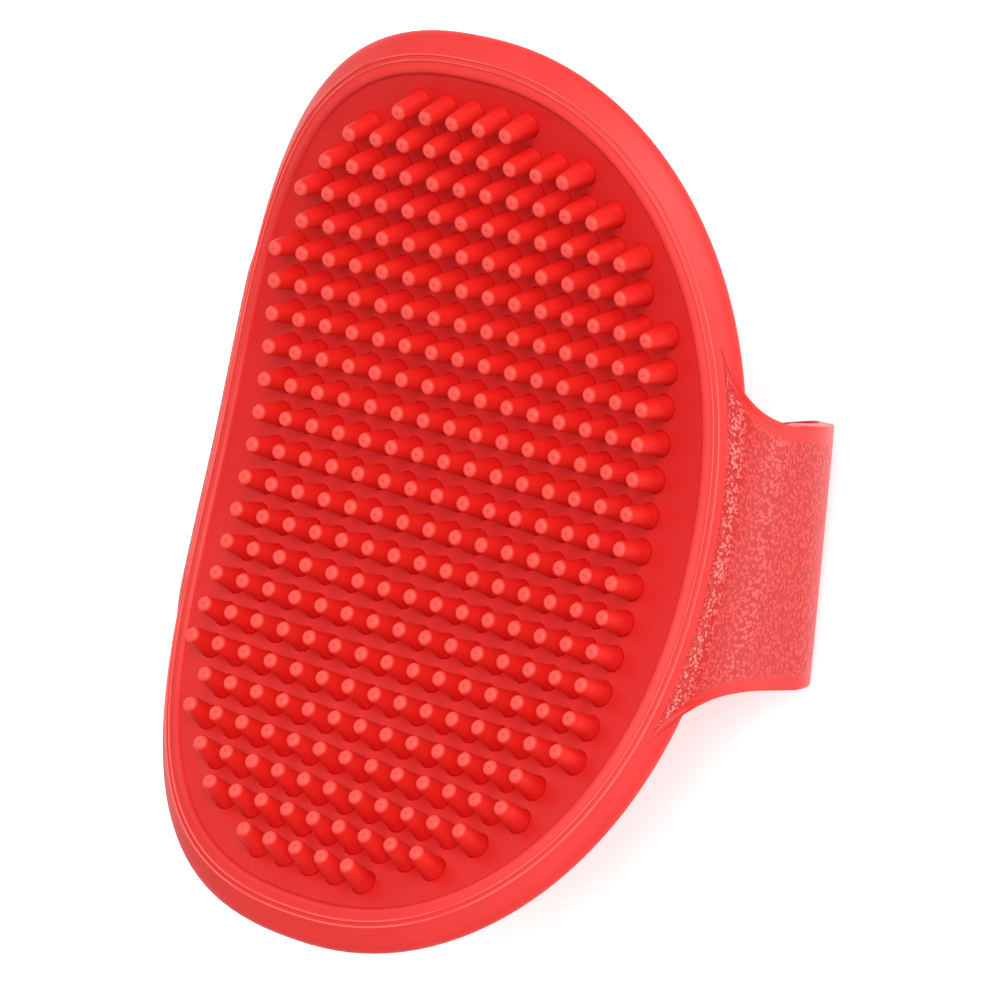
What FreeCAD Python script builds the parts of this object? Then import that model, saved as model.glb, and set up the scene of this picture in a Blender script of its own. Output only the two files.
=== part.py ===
"""Rubber curry comb: a bent oval pad with a stepped, sloping rim, a field of nubs and a two-part hand strap.

Millimetres. +Z is the nub side, X runs across the hand, Y runs along the comb.
The comb lies on the flat back of its strap, and the origin is the centre of the
bounding box's bottom face.
"""
import FreeCAD, Part
import math
import os

import Sketcher

Vector = FreeCAD.Vector
Placement = FreeCAD.Placement
Rotation = FreeCAD.Rotation

os.makedirs("parts", exist_ok=True)
doc = FreeCAD.newDocument("curry_comb")

# ---------------------------------------------------------------- driving dimensions
DIMENSIONS = {
    # The pad: an oval bent about an axis that lies across it, above the nubs
    "bend_radius": 108.0,
    "bow_radius": 450.0,
    "half_width": 48.5,
    "half_length": 64.7,
    "outline_power": 2.35,
    "sheet_thickness": 2.0,
    "stand_height": 28.5,
    # The rim's section: insets from the outer edge, heights from the pad's floor
    "rim_width": 4.85,
    "rim_step": 0.5,
    "ridge_inset": 2.5,
    "ridge_drop": 0.6,
    "edge_drop": 3.4,
    "rim_drop": 4.3,
    "rim_round": 0.9,
    # The nubs
    "nub_pitch": 5.0,
    "nub_height": 5.1,
    "nub_foot_radius": 2.0,
    "nub_foot_height": 0.3,
    "nub_base_radius": 1.8,
    "nub_tip_radius": 1.3,
    "nub_tip_round": 0.6,
    "foot_clearance": 0.03,
    # The strap
    "strap_thickness": 2.1,
    "strap_outside": 48.8,
    "strap_half_width": 17.9,
    "root_half_width": 26.0,
    "root_thickness": 3.6,
    "root_lip": 1.3,
    "root_lip_slant": 0.5,
    "root_lip_half_width": 0.4,
    "root_overlap": 1.0,
    "flare_height": 9.0,
    "flare_radius": 9.5,
    "fold_centre_height": 13.5,
    "hinge_height": 24.0,
    "hinge_clearance": 0.3,
    "hinge_shoulder": 0.5,
    "layer_gap": 0.3,
    "holed_end": 22.0,
    "studded_end": 12.0,
    "end_round": 8.0,
    # The closure: studs of one strap half, counterbored holes of the other
    "row_offset": 7.5,
    "hole_spacing": 8.0,
    "first_hole": 16.0,
    "hole_radius": 1.7,
    "recess_radius": 3.1,
    "recess_depth": 1.2,
    "stud_shaft_radius": 1.4,
    "stud_head_radius": 2.5,
    "stud_head_thickness": 0.95,
    "stud_head_clearance": 0.12,
}

# Half the number of nubs in each column beyond its middle nub, from the centre column outwards
COLUMN_REACH = (11, 11, 11, 10, 10, 9, 8, 6)
HOLES_PER_ROW = 4
STUDS_PER_ROW = 2
OUTLINE_STEPS = 72
DEGREES_PER_RADIAN = 57.2958
# A half circle drawn as an arc needs a radius a hair over half its chord
ARC_SLACK = 0.0001
# How far cutting tools run past what they cut, and past the sheet's corners
MARGIN = 5
CORNER_REACH = 25

sheet = doc.addObject("Spreadsheet::Sheet", "sizes")
for line, (alias, value) in enumerate(DIMENSIONS.items(), start=1):
    sheet.set(f"A{line}", alias)
    sheet.set(f"B{line}", str(value))
    sheet.setAlias(f"B{line}", alias)
doc.recompute()


def size(alias):
    """The number that the sheet holds under this alias."""
    return float(sheet.get(alias))


def bound(expression):
    """The same expression with every alias written as a reference to the sheet."""
    words = expression.replace("(", " ( ").replace(")", " ) ").split()
    return " ".join(f"sizes.{word}" if word in DIMENSIONS else word for word in words)


def number(expression):
    """What a bound expression is worth now."""
    value = sheet.evalExpression(bound(expression))
    return float(getattr(value, "Value", value))


sub_parts = []


def finish_part(part, name):
    """Label a sub-part, so that it is written to a file of that name."""
    part.Label = name
    sub_parts.append(part)
    return part


# ---------------------------------------------------------------- sketch helpers
def origin_plane(body, role):
    """One of the body's own origin planes."""
    return next(item for item in body.Origin.OriginFeatures if item.Role == role)


def new_sketch(body, name, role):
    """An empty sketch on one of the body's origin planes."""
    sketch = body.newObject("Sketcher::SketchObject", name)
    sketch.AttachmentSupport = [(origin_plane(body, role), "")]
    sketch.MapMode = "FlatFace"
    return sketch


def bend_sketch(body, name, turn="0"):
    """A sketch on the XZ plane, with its origin on the bend axis and turned about that axis."""
    sketch = new_sketch(body, name, "XZ_Plane")
    middle = Vector(0, number("stand_height + bend_radius"), 0)
    sketch.AttachmentOffset = Placement(middle, Rotation(Vector(1, 0, 0), number(turn)))
    sketch.setExpression("AttachmentOffset.Base.y", bound("stand_height + bend_radius"))
    if turn != "0":
        sketch.setExpression("AttachmentOffset.Rotation.Angle", bound(turn))
    return sketch


def pin(sketch, kind, geometry, point, expression):
    """Tie one coordinate of a sketch point to the sheet."""
    index = sketch.addConstraint(
        Sketcher.Constraint(kind, -1, 1, geometry, point, number(expression))
    )
    sketch.setExpression(f"Constraints[{index}]", bound(expression))


def draw_loop(sketch, corners):
    """Draw a closed loop. Each corner is (x, y, radius, side): the edge that leaves it is an
    arc of that radius where a radius is given, bulging to the left for side 1 and to the
    right for side -1."""
    places = [Vector(number(x), number(y), 0) for x, y, radius, side in corners]
    edges = []
    for index, (x, y, radius, side) in enumerate(corners):
        start = places[index]
        end = places[(index + 1) % len(corners)]
        if radius is None:
            edges.append((sketch.addGeometry(Part.LineSegment(start, end)), 1, 2))
            continue
        chord = end - start
        left = Vector(-chord.y, chord.x, 0).normalize()
        arc_radius = number(radius)
        rise = arc_radius - math.sqrt(arc_radius ** 2 - (chord.Length / 2) ** 2)
        middle = (start + end) / 2 + left * (rise * side)
        arc = Part.Arc(start, middle, end)
        geometry = sketch.addGeometry(arc)
        # A sketch arc runs anticlockwise, so one that bulges left starts at its far end
        edges.append((geometry, 1, 2) if side < 0 else (geometry, 2, 1))
        tie = sketch.addConstraint(Sketcher.Constraint("Radius", geometry, arc_radius))
        sketch.setExpression(f"Constraints[{tie}]", bound(radius))
    for index, (geometry, first, last) in enumerate(edges):
        following, following_first, _ = edges[(index + 1) % len(edges)]
        sketch.addConstraint(
            Sketcher.Constraint("Coincident", geometry, last, following, following_first)
        )
    for (geometry, first, last), (x, y, radius, side) in zip(edges, corners):
        pin(sketch, "DistanceX", geometry, first, x)
        pin(sketch, "DistanceY", geometry, first, y)


def straight(*points):
    """Corners joined by straight edges."""
    return [(x, y, None, 0) for x, y in points]


def symmetric(feature):
    """Make a pad or a pocket run both ways from its sketch."""
    feature.SideType = "Symmetric"


# ---------------------------------------------------------------- the bent pad's surface
def outline_point(turn):
    """A point of the flat outline and its outward normal, at a polar angle."""
    wide = size("half_width")
    long = size("half_length")
    power = size("outline_power")
    across = abs(math.cos(turn)) / wide
    along = abs(math.sin(turn)) / long
    reach = (across ** power + along ** power) ** (-1 / power)
    point = Vector(reach * math.cos(turn), reach * math.sin(turn), 0)
    normal = Vector(
        math.copysign((reach * across) ** (power - 1) / wide, math.cos(turn)),
        math.copysign((reach * along) ** (power - 1) / long, math.sin(turn)),
        0,
    )
    return point, normal.normalize()


def bent(flat, height):
    """Where a point of the flat pattern goes on the bent pad, at a height above its floor."""
    bend = size("bend_radius")
    radius = bend - flat.x ** 2 / (2 * size("bow_radius")) - height
    turn = flat.y / bend
    middle = size("stand_height") + bend
    return Vector(flat.x, radius * math.sin(turn), middle - radius * math.cos(turn))


def outline_points(inset, height):
    """The outline moved inwards and bent, as points that start at the +Y end."""
    points = []
    for step in range(OUTLINE_STEPS):
        turn = math.pi / 2 + step * 2 * math.pi / OUTLINE_STEPS
        flat, normal = outline_point(turn)
        points.append(bent(flat - normal * inset, height))
    return points


def closed_curve(points):
    """A smooth closed edge through the points."""
    curve = Part.BSplineCurve()
    curve.interpolate(Points=points, PeriodicFlag=True)
    return curve.toShape()


# ---------------------------------------------------------------- rim
def rim_section():
    """The rim's section as (inset, height) corners: floor step, ridge, outer slope, edge, underside."""
    width = size("rim_width")
    thickness = size("sheet_thickness")
    step = size("rim_step")
    ridge_inset = size("ridge_inset")
    ridge = size("ridge_drop")
    drop = size("rim_drop")
    edge = size("edge_drop")
    soft = size("rim_round")
    return [
        (width, -thickness),
        (width, step),
        (width - soft / 2, step),
        (ridge_inset, -ridge),
        (ridge_inset - soft / 2, -ridge - soft / 4),
        (soft / 3, soft - edge),
        (0.0, -edge),
        (soft / 3, -(edge + drop) / 2),
        (soft, -drop),
        (2 * soft, -drop),
        (width - soft / 2, -thickness - soft / 2),
    ]


def bent_ring(name, section):
    """A ring that follows the outline, with a section given as (inset, height) corners."""
    curves = [closed_curve(outline_points(inset, height)) for inset, height in section]
    faces = [
        Part.makeRuledSurface(curve, curves[(index + 1) % len(curves)])
        for index, curve in enumerate(curves)
    ]
    solid = Part.Solid(Part.Shell(faces))
    if solid.Volume < 0:
        solid.reverse()
    ring = doc.addObject("Part::Feature", name)
    ring.Shape = solid
    ring.Placement = Placement()
    return ring


rim = finish_part(bent_ring("rim", rim_section()), "rim")

# ---------------------------------------------------------------- pad sheet
blank = doc.addObject("PartDesign::Body", "sheet_blank")
blank_section = bend_sketch(blank, "sheet_section")
side_height = "half_width * half_width / ( 2 * bow_radius )"
draw_loop(
    blank_section,
    [
        ("-1 * half_width", f"{side_height} - bend_radius - sheet_thickness",
         "bow_radius + sheet_thickness", -1),
        ("half_width", f"{side_height} - bend_radius - sheet_thickness", None, 0),
        ("half_width", f"{side_height} - bend_radius", "bow_radius", 1),
        ("-1 * half_width", f"{side_height} - bend_radius", None, 0),
    ],
)
blank_turn = blank.newObject("PartDesign::Revolution", "sheet_turn")
blank_turn.Profile = blank_section
blank_turn.ReferenceAxis = (blank_section, ["H_Axis"])
blank_turn.Midplane = True
blank_angle = f"2 * {DEGREES_PER_RADIAN} * half_length / bend_radius"
blank_turn.Angle = number(blank_angle)
blank_turn.setExpression("Angle", bound(blank_angle))

# A wide ring clears the sheet's corners away down to the middle of the rim's inner step,
# and the rim then trims it to its inner wall
step_inset = size("rim_width") - size("rim_round") / 4
corner_ring = bent_ring(
    "corner_ring",
    [
        (step_inset, -MARGIN),
        (step_inset, MARGIN),
        (-CORNER_REACH, MARGIN),
        (-CORNER_REACH, -MARGIN),
    ],
)
trimmed = doc.addObject("Part::Cut", "sheet_trimmed")
trimmed.Base = blank
trimmed.Tool = corner_ring
pad_sheet = doc.addObject("Part::Cut", "pad_sheet")
pad_sheet.Base = trimmed
pad_sheet.Tool = rim
finish_part(pad_sheet, "pad_sheet")


# ---------------------------------------------------------------- nub columns
def nub_column(column):
    """One column of nubs along the comb: a turned nub, repeated about the bend axis."""
    side = "left" if column < 0 else "right"
    name = "nubs_centre" if column == 0 else f"nubs_{side}_{abs(column)}"
    reach = COLUMN_REACH[abs(column)]
    body = doc.addObject("PartDesign::Body", name)
    body.AllowCompound = True
    axis = f"{column} * nub_pitch"
    half_turn = f"{DEGREES_PER_RADIAN} * {reach} * nub_pitch / bend_radius"
    sketch = bend_sketch(body, f"{name}_section", f"-1 * {half_turn}")
    # The foot is lifted until its disc clears the bowed and bent floor
    floor = f"( {axis} ) * ( {axis} ) / ( 2 * bow_radius ) - bend_radius"
    lift = f"{abs(column)} * nub_pitch * nub_foot_radius / bow_radius + foot_clearance"
    foot = f"{floor} + {lift}"
    tip = f"{floor} + nub_height"
    draw_loop(
        sketch,
        [
            (axis, foot, None, 0),
            (f"{axis} + nub_foot_radius", foot, None, 0),
            (f"{axis} + nub_base_radius", f"{foot} + nub_foot_height", None, 0),
            (f"{axis} + nub_tip_radius", f"{tip} - nub_tip_round", None, 0),
            (f"{axis} + nub_tip_radius - nub_tip_round", tip, None, 0),
            (axis, tip, None, 0),
        ],
    )
    spine = sketch.addGeometry(
        Part.LineSegment(
            Vector(number(axis), number(floor), 0), Vector(number(axis), number(tip), 0)
        ),
        True,
    )
    sketch.addConstraint(Sketcher.Constraint("Vertical", spine))
    pin(sketch, "DistanceX", spine, 1, axis)
    pin(sketch, "DistanceY", spine, 1, floor)
    pin(sketch, "DistanceY", spine, 2, tip)
    turned = body.newObject("PartDesign::Revolution", f"{name}_nub")
    turned.Profile = sketch
    turned.ReferenceAxis = (sketch, ["Axis0"])
    turned.Angle = 360
    doc.recompute()
    pattern = body.newObject("PartDesign::PolarPattern", f"{name}_pattern")
    pattern.Originals = [turned]
    base_sketch = new_sketch(body, f"{name}_axis", "XZ_Plane")
    base_sketch.AttachmentOffset = Placement(
        Vector(0, number("stand_height + bend_radius"), 0), Rotation()
    )
    base_sketch.setExpression("AttachmentOffset.Base.y", bound("stand_height + bend_radius"))
    pattern.Axis = (base_sketch, ["H_Axis"])
    pattern.Occurrences = 2 * reach + 1
    pattern.setExpression("Angle", bound(f"2 * {half_turn}"))
    body.Tip = pattern
    return finish_part(body, name)


columns = [nub_column(column) for column in range(1 - len(COLUMN_REACH), len(COLUMN_REACH))]


# ---------------------------------------------------------------- strap
def strap_half(name, side, lift, reach):
    """One half of the strap: a leg down from its hinge, a fold, and a flat band inwards.
    side is 1 for the half at +X, lift is the height of the band's lower face, and reach is
    how far the band runs past the middle."""
    body = doc.addObject("PartDesign::Body", name)
    section = new_sketch(body, f"{name}_section", "XZ_Plane")
    outside = f"{side} * strap_outside"
    inside = f"{side} * ( strap_outside - strap_thickness )"
    fold = f"( fold_centre_height - {lift} )"
    fold_line = f"{side} * ( strap_outside - {fold} )"
    free_end = f"-{side} * {reach}" if side > 0 else reach
    corners = [
        (free_end, lift, None, 0),
        (fold_line, lift, fold, -side),
        (outside, "fold_centre_height", None, 0),
        (outside, "hinge_height", f"strap_thickness / 2 + {ARC_SLACK}", -side),
        (inside, "hinge_height", None, 0),
        (inside, "fold_centre_height", f"{fold} - strap_thickness", side),
        (fold_line, f"{lift} + strap_thickness", None, 0),
        (free_end, f"{lift} + strap_thickness", None, 0),
    ]
    draw_loop(section, corners)
    band = body.newObject("PartDesign::Pad", f"{name}_band")
    band.Profile = section
    symmetric(band)
    band.setExpression("Length", bound("2 * root_half_width"))
    doc.recompute()
    # The leg narrows below its root by a hollow curve on each edge
    waist = new_sketch(body, f"{name}_waist", "YZ_Plane")
    for edge in (1, -1):
        narrow = f"{edge} * strap_half_width"
        wide = f"{edge} * root_half_width"
        beyond = f"{edge} * ( root_half_width + {MARGIN} )"
        shoulder = "hinge_height - hinge_shoulder"
        below = str(-MARGIN)
        draw_loop(
            waist,
            [
                (narrow, below, None, 0),
                (narrow, "hinge_height - flare_height", "flare_radius", edge),
                (wide, shoulder, None, 0),
                (beyond, shoulder, None, 0),
                (beyond, below, None, 0),
            ],
        )
    trim = body.newObject("PartDesign::Pocket", f"{name}_trim")
    trim.Profile = waist
    trim.Type = "ThroughAll"
    symmetric(trim)
    doc.recompute()
    end_edges = [
        f"Edge{index}"
        for index, edge in enumerate(trim.Shape.Edges, start=1)
        if abs(edge.CenterOfMass.x - number(free_end)) < 0.01
        and abs(edge.Length - size("strap_thickness")) < 0.01
    ]
    rounding = body.newObject("PartDesign::Fillet", f"{name}_end")
    rounding.Base = (trim, end_edges)
    rounding.Radius = size("end_round")
    rounding.setExpression("Radius", bound("end_round"))
    doc.recompute()
    return body


def punch_row(body, name, radius, depth_expression, floor_expression):
    """Cut one hole in each of the two rows, upwards from a height below the strap."""
    sketch = new_sketch(body, f"{name}_sketch", "XY_Plane")
    sketch.AttachmentOffset = Placement(Vector(0, 0, number(floor_expression)), Rotation())
    for row in (1, -1):
        circle = sketch.addGeometry(
            Part.Circle(
                Vector(number("first_hole"), number(f"{row} * row_offset"), 0),
                Vector(0, 0, 1),
                number(radius),
            )
        )
        tie = sketch.addConstraint(Sketcher.Constraint("Radius", circle, number(radius)))
        sketch.setExpression(f"Constraints[{tie}]", bound(radius))
        pin(sketch, "DistanceX", circle, 3, "first_hole")
        pin(sketch, "DistanceY", circle, 3, f"{row} * row_offset")
    cut = body.newObject("PartDesign::Pocket", name)
    cut.Profile = sketch
    cut.Reversed = True
    cut.Length = number(depth_expression)
    cut.setExpression("Length", bound(depth_expression))
    doc.recompute()
    return cut


holed = strap_half("strap_with_holes", 1, "0", "holed_end")
volume_before = holed.Shape.Volume
recess = punch_row(holed, "stud_recess", "recess_radius", "recess_depth", "0")
hole = punch_row(holed, "stud_hole", "hole_radius", "strap_thickness", "0")
hole_row = holed.newObject("PartDesign::LinearPattern", "hole_row")
hole_row.Originals = [recess, hole]
hole_row.Direction = (holed.Origin.OriginFeatures[0], [""])
hole_row.Reversed = True
hole_row.Occurrences = HOLES_PER_ROW
hole_row.setExpression("Length", bound(f"{HOLES_PER_ROW - 1} * hole_spacing"))
holed.Tip = hole_row
doc.recompute()
cut_away = volume_before - holed.Shape.Volume
print("strap holes cut away", round(cut_away, 1), "mm3")
finish_part(holed, "strap_with_holes")

studded = strap_half("strap_with_studs", -1, "( strap_thickness + layer_gap )", "studded_end")
finish_part(studded, "strap_with_studs")


def stud(index, place_x, row):
    """A mushroom stud that hangs from the studded band through a hole of the other."""
    shaft = doc.addObject("Part::Cylinder", f"stud_shaft_{index}")
    shaft.setExpression("Radius", bound("stud_shaft_radius"))
    shaft_low = "( recess_depth - stud_head_clearance )"
    shaft.setExpression("Height", bound(f"strap_thickness + layer_gap - {shaft_low}"))
    shaft.setExpression("Placement.Base.x", bound(place_x))
    shaft.setExpression("Placement.Base.y", bound(f"{row} * row_offset"))
    shaft.setExpression("Placement.Base.z", bound(shaft_low))
    head = doc.addObject("Part::Cylinder", f"stud_head_{index}")
    head.setExpression("Radius", bound("stud_head_radius"))
    head.setExpression("Height", bound("stud_head_thickness"))
    head.setExpression("Placement.Base.x", bound(place_x))
    head.setExpression("Placement.Base.y", bound(f"{row} * row_offset"))
    head.setExpression("Placement.Base.z", bound(f"{shaft_low} - stud_head_thickness"))
    whole = doc.addObject("Part::Fuse", f"stud_{index}")
    whole.Base = shaft
    whole.Tool = head
    return whole


studs = []
for position in range(STUDS_PER_ROW):
    for row in (1, -1):
        place_x = f"first_hole - {position + 1} * hole_spacing"
        studs.append(stud(len(studs) + 1, place_x, row))
stud_set = doc.addObject("Part::Compound", "strap_studs")
stud_set.Links = studs
finish_part(stud_set, "strap_studs")

# ---------------------------------------------------------------- strap roots
above_rim = doc.addObject("Part::Cylinder", "above_rim_underside")
above_rim.setExpression("Height", bound(f"2 * ( strap_outside + {MARGIN} )"))
above_rim.setExpression(
    "Radius",
    bound("bend_radius - half_width * half_width / ( 2 * bow_radius ) + rim_drop - root_overlap"),
)
above_rim.Placement = Placement(Vector(0, 0, 0), Rotation(Vector(0, 1, 0), 90))
above_rim.setExpression("Placement.Base.x", bound(f"-1 * ( strap_outside + {MARGIN} )"))
above_rim.setExpression("Placement.Base.z", bound("stand_height + bend_radius"))


def strap_root(name, side):
    """The flared root that joins one leg of the strap to the rim's underside."""
    body = doc.addObject("PartDesign::Body", f"{name}_blank")
    section = new_sketch(body, f"{name}_section", "XZ_Plane")
    outside = f"{side} * strap_outside"
    inside = f"{side} * ( strap_outside - root_thickness )"
    middle = f"{side} * ( strap_outside - strap_thickness / 2 )"
    low = "hinge_height + strap_thickness / 2 + hinge_clearance"
    high = f"stand_height + {MARGIN}"
    draw_loop(
        section,
        straight(
            (f"{middle} + {side} * root_lip_half_width", low),
            (outside, f"{low} + root_lip"),
            (outside, high),
            (inside, high),
            (inside, f"{low} + root_lip + root_lip_slant"),
            (f"{middle} - {side} * root_lip_half_width", low),
        ),
    )
    block = body.newObject("PartDesign::Pad", f"{name}_block")
    block.Profile = section
    symmetric(block)
    block.setExpression("Length", bound("2 * root_half_width"))
    lowered = doc.addObject("Part::Cut", f"{name}_lowered")
    lowered.Base = body
    lowered.Tool = above_rim
    root = doc.addObject("Part::Cut", name)
    root.Base = lowered
    root.Tool = rim
    return finish_part(root, name)


strap_root("strap_root_right", 1)
strap_root("strap_root_left", -1)

# ---------------------------------------------------------------- checks and files
doc.recompute()
faults = [item.Name for item in doc.Objects if "Invalid" in item.State or "Error" in item.State]
for part in sub_parts:
    shape = part.Shape
    if shape.isNull() or not shape.isValid() or not shape.Solids:
        faults.append(part.Label)
if faults:
    raise SystemExit(f"failed objects: {faults}")
for part in sub_parts:
    shape = part.Shape
    box = shape.BoundBox
    print(
        f"{part.Label:20s} solids {len(shape.Solids):3d} volume {shape.Volume:9.1f}"
        f" x {box.XMin:6.1f} {box.XMax:6.1f} y {box.YMin:6.1f} {box.YMax:6.1f}"
        f" z {box.ZMin:6.2f} {box.ZMax:6.2f}"
    )
    shape.exportStep(os.path.join("parts", f"{part.Label}.step"))
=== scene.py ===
"""Looks of the rubber curry comb: bent pad, rim, nub field and hand strap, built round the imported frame."""

from __future__ import annotations

import logging
import math
from collections.abc import Iterable
from dataclasses import dataclass, field
from enum import Enum

import bmesh
import bpy
from bmesh.types import BMEdge, BMesh, BMVert
from bpy.types import Material, NodeSocket, Object, ShaderNode
from mathutils import Matrix, Vector

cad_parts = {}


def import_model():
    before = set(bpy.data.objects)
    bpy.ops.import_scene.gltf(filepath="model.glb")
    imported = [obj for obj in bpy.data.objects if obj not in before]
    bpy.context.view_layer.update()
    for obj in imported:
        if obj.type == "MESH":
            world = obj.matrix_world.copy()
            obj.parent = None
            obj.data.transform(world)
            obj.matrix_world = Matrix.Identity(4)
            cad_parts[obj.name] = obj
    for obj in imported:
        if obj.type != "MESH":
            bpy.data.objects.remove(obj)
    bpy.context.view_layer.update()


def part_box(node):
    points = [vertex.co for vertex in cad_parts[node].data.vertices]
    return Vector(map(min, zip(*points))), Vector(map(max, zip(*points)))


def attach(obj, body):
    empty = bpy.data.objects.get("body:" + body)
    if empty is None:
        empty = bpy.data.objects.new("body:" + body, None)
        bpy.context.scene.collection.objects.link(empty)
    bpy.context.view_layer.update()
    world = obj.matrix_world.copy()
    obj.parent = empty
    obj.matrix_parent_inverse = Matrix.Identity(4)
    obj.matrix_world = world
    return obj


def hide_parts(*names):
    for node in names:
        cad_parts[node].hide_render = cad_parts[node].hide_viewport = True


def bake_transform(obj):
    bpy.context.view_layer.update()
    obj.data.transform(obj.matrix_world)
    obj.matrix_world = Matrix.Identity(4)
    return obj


MM = 0.001
TOUCHING = 0.001 * MM
FLOOR_HEIGHT = 28.5 * MM
HOLE_SPACING = 8.0 * MM
HOLE_ROW = 7.5 * MM
SHOULDER_STEPS = 16
SQUARE_CORNER = math.radians(60)
LOG = logging.getLogger("curry_comb")
Colour = tuple[float, float, float]


class Body(Enum):
    """The bodies of the frame that pieces ride on."""

    PAD = "pad"
    OUTER_STRAP = "outer_strap"
    INNER_STRAP = "inner_strap"


class Slot(Enum):
    """The record's material slots."""

    PAD = "pad_rubber"
    NUB = "nub_rubber"
    STRAP = "strap_rubber"
    STUD = "stud_rubber"


class Side(Enum):
    """The two sides of the comb, as the sign of X."""

    RIGHT = 1
    LEFT = -1


# ---------------------------------------------------------------- shader maths
class Signal:
    """One output socket of a shader tree, with arithmetic that adds Math nodes."""

    def __init__(self, tree: ShaderTree, socket: NodeSocket) -> None:
        """Wrap a socket.

        Args:
            tree: the tree that the socket belongs to.
            socket: the output to work with.
        """
        self.tree = tree
        self.socket = socket

    def _math(self, operation: str, *values: Signal | float) -> Signal:
        """Join this signal and others in a Math node.

        Args:
            operation: the Math node's operation.
            values: the node's inputs in order.

        Returns:
            The node's output.
        """
        return self.tree.add("ShaderNodeMath", {"operation": operation}, *values)

    def __add__(self, other: Signal | float) -> Signal:
        """self + other."""
        return self._math("ADD", self, other)

    def __radd__(self, other: float) -> Signal:
        """other + self."""
        return self._math("ADD", other, self)

    def __sub__(self, other: Signal | float) -> Signal:
        """self - other."""
        return self._math("SUBTRACT", self, other)

    def __rsub__(self, other: float) -> Signal:
        """other - self."""
        return self._math("SUBTRACT", other, self)

    def __mul__(self, other: Signal | float) -> Signal:
        """self * other."""
        return self._math("MULTIPLY", self, other)

    def __rmul__(self, other: float) -> Signal:
        """other * self."""
        return self._math("MULTIPLY", other, self)

    def ramp(self, low: float, high: float) -> Signal:
        """Smooth step of this signal.

        Args:
            low: where the result is 0.
            high: where the result is 1.

        Returns:
            A signal from 0 to 1.
        """
        settings = {"interpolation_type": "SMOOTHSTEP"}
        return self.tree.add("ShaderNodeMapRange", settings, self, low, high, 0.0, 1.0)


class ShaderTree:
    """A material's node tree round one Principled shader."""

    def __init__(self, name: str) -> None:
        """Make an empty material with a Principled shader.

        Args:
            name: the material's name.
        """
        self.material: Material = bpy.data.materials.new(name)
        self.material.use_nodes = True
        self.tree = self.material.node_tree
        self.surface = self.tree.nodes["Principled BSDF"]

    def add(
        self,
        kind: str,
        settings: dict[str, object],
        *inputs: object,
        output: int | str = 0,
        **named: object,
    ) -> Signal:
        """Add one node.

        Args:
            kind: the node's type name.
            settings: attributes to set on the node before its inputs.
            inputs: values or signals of the node's inputs in order; None leaves one alone.
            output: which output to return.
            named: values or signals of inputs by their names.

        Returns:
            The chosen output.
        """
        node: ShaderNode = self.tree.nodes.new(kind)
        for key, value in settings.items():
            setattr(node, key, value)
        for socket, value in zip(node.inputs, inputs):
            self.feed(socket, value)
        for title, value in named.items():
            self.feed(node.inputs[title], value)
        return Signal(self, node.outputs[output])

    def feed(self, socket: NodeSocket, value: object) -> None:
        """Link a signal to a socket, or set its value.

        Args:
            socket: the input to feed.
            value: a signal, a plain value, or None to leave it alone.
        """
        if isinstance(value, Signal):
            self.tree.links.new(value.socket, socket)
        elif value is not None:
            socket.default_value = value

    def mix(self, amount: Signal, first: Signal | Colour, second: Signal | Colour) -> Signal:
        """Mix two colours.

        Args:
            amount: 0 for the first colour, 1 for the second.
            first: a colour.
            second: a colour.

        Returns:
            The mixed colour.
        """
        pair = [colour if isinstance(colour, Signal) else (*colour, 1.0) for colour in (first, second)]
        unused = [None] * 5
        return self.add("ShaderNodeMix", {"data_type": "RGBA"}, amount, *unused, *pair, output=2)

    def attribute(self, name: str) -> Signal:
        """A number painted on the mesh."""
        return self.add("ShaderNodeAttribute", {"attribute_name": name}, output="Fac")

    def place(self) -> Signal:
        """Object coordinates."""
        return self.add("ShaderNodeTexCoord", {}, output="Object")

    def pattern(self, name: str) -> Signal:
        """The coordinates of a UV map."""
        return self.add("ShaderNodeUVMap", {"uv_map": name})

    def noise(self, where: Signal, per_metre: float, detail: float = 2.0) -> Signal:
        """Cloudy noise.

        Args:
            where: coordinates.
            per_metre: how many times the pattern repeats in a metre.
            detail: number of octaves.

        Returns:
            A number around 0.5.
        """
        return self.add("ShaderNodeTexNoise", {}, Vector=where, Scale=per_metre, Detail=detail)

    def cells(self, where: Signal, per_metre: float) -> Signal:
        """Distance from the middle of the nearest cell of a random pattern.

        Args:
            where: coordinates.
            per_metre: cells in a metre.

        Returns:
            The distance in cell sizes.
        """
        settings = {"feature": "F1"}
        return self.add(
            "ShaderNodeTexVoronoi", settings, Vector=where, Scale=per_metre, output="Distance"
        )

    def bump(self, height: Signal, metres: float) -> None:
        """Raise the surface's normal by a height.

        Args:
            height: a signal from 0 to 1.
            metres: how high 1 stands.
        """
        self.set(normal=self.add("ShaderNodeBump", {}, Strength=1.0, Distance=metres, Height=height))

    def set(self, **inputs: object) -> None:
        """Feed the Principled shader's inputs.

        Args:
            inputs: values or signals, named in lower case with underscores.
        """
        for key, value in inputs.items():
            title = key.replace("_", " ").title().replace("Ior", "IOR")
            self.feed(self.surface.inputs[title], value)


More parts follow.
